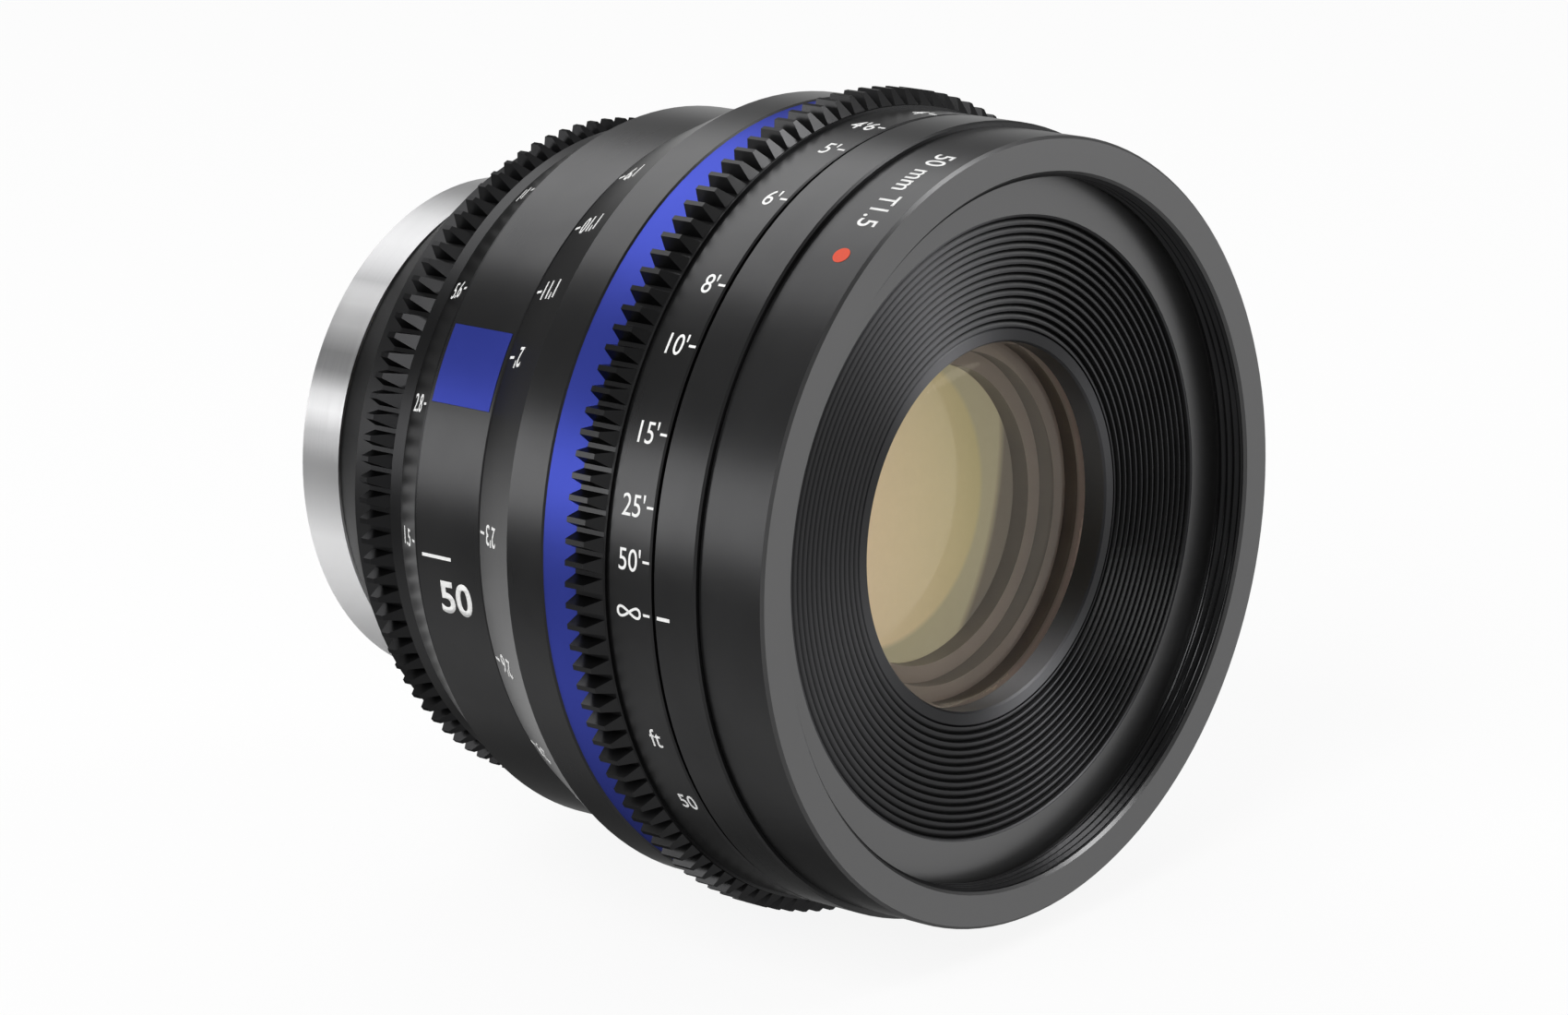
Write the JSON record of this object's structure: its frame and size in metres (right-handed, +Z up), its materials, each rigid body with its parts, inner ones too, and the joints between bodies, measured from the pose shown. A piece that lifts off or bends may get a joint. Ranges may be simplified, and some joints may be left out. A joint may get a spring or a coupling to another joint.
{
  "type": "cinema prime lens",
  "caption": "Cinema prime lens with geared focus and iris rings, bayonet mount, ribbed front baffle, filter thread, cam-driven focus cell and swinging iris blades.",
  "frame": {"origin": "centre of the camera flange face, on the optical axis", "axes": "-Y along the optical axis towards the front, +Y into the camera, +Z up, index marks on the -X side"},
  "size_m": [0.1008, 0.0948, 0.1008],
  "materials": {
    "bright_steel": "bright satin steel",
    "dark_screw": "blackened steel",
    "brass": "machined brass",
    "black_plastic": "matte moulded plastic",
    "gold_contact": "gold plated",
    "black_anodised": "satin black anodised",
    "gear_black": "satin black anodised, hobbed teeth",
    "front_black": "matte black anodised",
    "blue_anodised": "satin blue anodised",
    "matte_black": "flat black anodised",
    "cell_black": "flat black, warm through the coated glass",
    "raw_aluminium": "clear anodised",
    "coated_glass": "polished, multi-coated",
    "blade_steel": "blackened spring steel"
  },
  "bodies": {
    "barrel": {"mount_ring": "bright_steel", "mount_screws": "dark_screw", "barrel_screws": "dark_screw", "guide_tube_screws": "dark_screw", "front_barrel_screws": "dark_screw", "mount_shim": "brass", "contact_block": "black_plastic", "contact_pins": "gold_contact", "rear_barrel": "black_anodised", "main_barrel": "black_anodised", "front_barrel": "black_anodised", "front_ring": "front_black", "badge_plate": "blue_anodised", "ribbed_baffle": "matte_black", "front_retaining_ring": "matte_black", "rear_cell": "matte_black", "rear_spacer": "matte_black", "rear_retaining_ring": "matte_black", "rear_baffle": "matte_black", "second_retaining_ring": "matte_black", "iris_housing": "matte_black", "front_cell": "cell_black", "guide_tube": "raw_aluminium", "front_element": "coated_glass", "second_element": "coated_glass", "rear_element_front": "coated_glass", "rear_element_rear": "coated_glass"},
    "focus": {"focus_ring": "black_anodised", "colour_ring": "blue_anodised", "focus_gear": "gear_black", "scale_ring": "black_anodised", "cam_sleeve": "brass", "cam_screws": "dark_screw"},
    "focus_group": {"focus_cell": "matte_black", "focus_element_rear": "coated_glass", "focus_spacer": "matte_black", "focus_element_front": "coated_glass", "focus_retaining_ring": "matte_black", "cam_followers": "brass"},
    "iris": {"iris_ring": "black_anodised", "iris_gear": "gear_black", "iris_drive_ring": "matte_black", "iris_key": "dark_screw"},
    "blade_01": {"iris_blade_01": "blade_steel"},
    "blade_02": {"iris_blade_02": "blade_steel"},
    "blade_03": {"iris_blade_03": "blade_steel"},
    "blade_04": {"iris_blade_04": "blade_steel"},
    "blade_05": {"iris_blade_05": "blade_steel"},
    "blade_06": {"iris_blade_06": "blade_steel"},
    "blade_07": {"iris_blade_07": "blade_steel"},
    "blade_08": {"iris_blade_08": "blade_steel"},
    "blade_09": {"iris_blade_09": "blade_steel"},
    "blade_10": {"iris_blade_10": "blade_steel"}
  },
  "joints": [
    {"name": "focus_turn", "type": "hinge", "parent": "barrel", "child": "focus", "pos_m": [0, -0.06, 0], "axis": [0, -1, 0], "range_deg": [0, 240]},
    {"name": "focus_slide", "type": "slide", "parent": "barrel", "child": "focus_group", "axis": [0, -1, 0], "range_m": [0, 0.009]},
    {"name": "iris_turn", "type": "hinge", "parent": "barrel", "child": "iris", "pos_m": [0, -0.027, 0], "axis": [0, -1, 0], "range_deg": [0, 82]},
    {"name": "blade_01_swing", "type": "hinge", "parent": "barrel", "child": "blade_01", "pos_m": [0.024, -0.025, 0], "axis": [0, -1, 0], "range_deg": [0, 34]},
    {"name": "blade_02_swing", "type": "hinge", "parent": "barrel", "child": "blade_02", "pos_m": [0.01942, -0.025, 0.01411], "axis": [0, -1, 0], "range_deg": [0, 34]},
    {"name": "blade_03_swing", "type": "hinge", "parent": "barrel", "child": "blade_03", "pos_m": [0.00742, -0.025, 0.02283], "axis": [0, -1, 0], "range_deg": [0, 34]},
    {"name": "blade_04_swing", "type": "hinge", "parent": "barrel", "child": "blade_04", "pos_m": [-0.00742, -0.025, 0.02283], "axis": [0, -1, 0], "range_deg": [0, 34]},
    {"name": "blade_05_swing", "type": "hinge", "parent": "barrel", "child": "blade_05", "pos_m": [-0.01942, -0.025, 0.01411], "axis": [0, -1, 0], "range_deg": [0, 34]},
    {"name": "blade_06_swing", "type": "hinge", "parent": "barrel", "child": "blade_06", "pos_m": [-0.024, -0.025, 0], "axis": [0, -1, 0], "range_deg": [0, 34]},
    {"name": "blade_07_swing", "type": "hinge", "parent": "barrel", "child": "blade_07", "pos_m": [-0.01942, -0.025, -0.01411], "axis": [0, -1, 0], "range_deg": [0, 34]},
    {"name": "blade_08_swing", "type": "hinge", "parent": "barrel", "child": "blade_08", "pos_m": [-0.00742, -0.025, -0.02283], "axis": [0, -1, 0], "range_deg": [0, 34]},
    {"name": "blade_09_swing", "type": "hinge", "parent": "barrel", "child": "blade_09", "pos_m": [0.00742, -0.025, -0.02283], "axis": [0, -1, 0], "range_deg": [0, 34]},
    {"name": "blade_10_swing", "type": "hinge", "parent": "barrel", "child": "blade_10", "pos_m": [0.01942, -0.025, -0.01411], "axis": [0, -1, 0], "range_deg": [0, 34]}
  ],
  "couplings": [
    {"joint": "focus_slide", "follows": "focus_turn", "m_per_rad": 0.0021486},
    {"joint": "blade_01_swing", "follows": "iris_turn", "ratio": 0.41463},
    {"joint": "blade_02_swing", "follows": "iris_turn", "ratio": 0.41463},
    {"joint": "blade_03_swing", "follows": "iris_turn", "ratio": 0.41463},
    {"joint": "blade_04_swing", "follows": "iris_turn", "ratio": 0.41463},
    {"joint": "blade_05_swing", "follows": "iris_turn", "ratio": 0.41463},
    {"joint": "blade_06_swing", "follows": "iris_turn", "ratio": 0.41463},
    {"joint": "blade_07_swing", "follows": "iris_turn", "ratio": 0.41463},
    {"joint": "blade_08_swing", "follows": "iris_turn", "ratio": 0.41463},
    {"joint": "blade_09_swing", "follows": "iris_turn", "ratio": 0.41463},
    {"joint": "blade_10_swing", "follows": "iris_turn", "ratio": 0.41463}
  ]
}
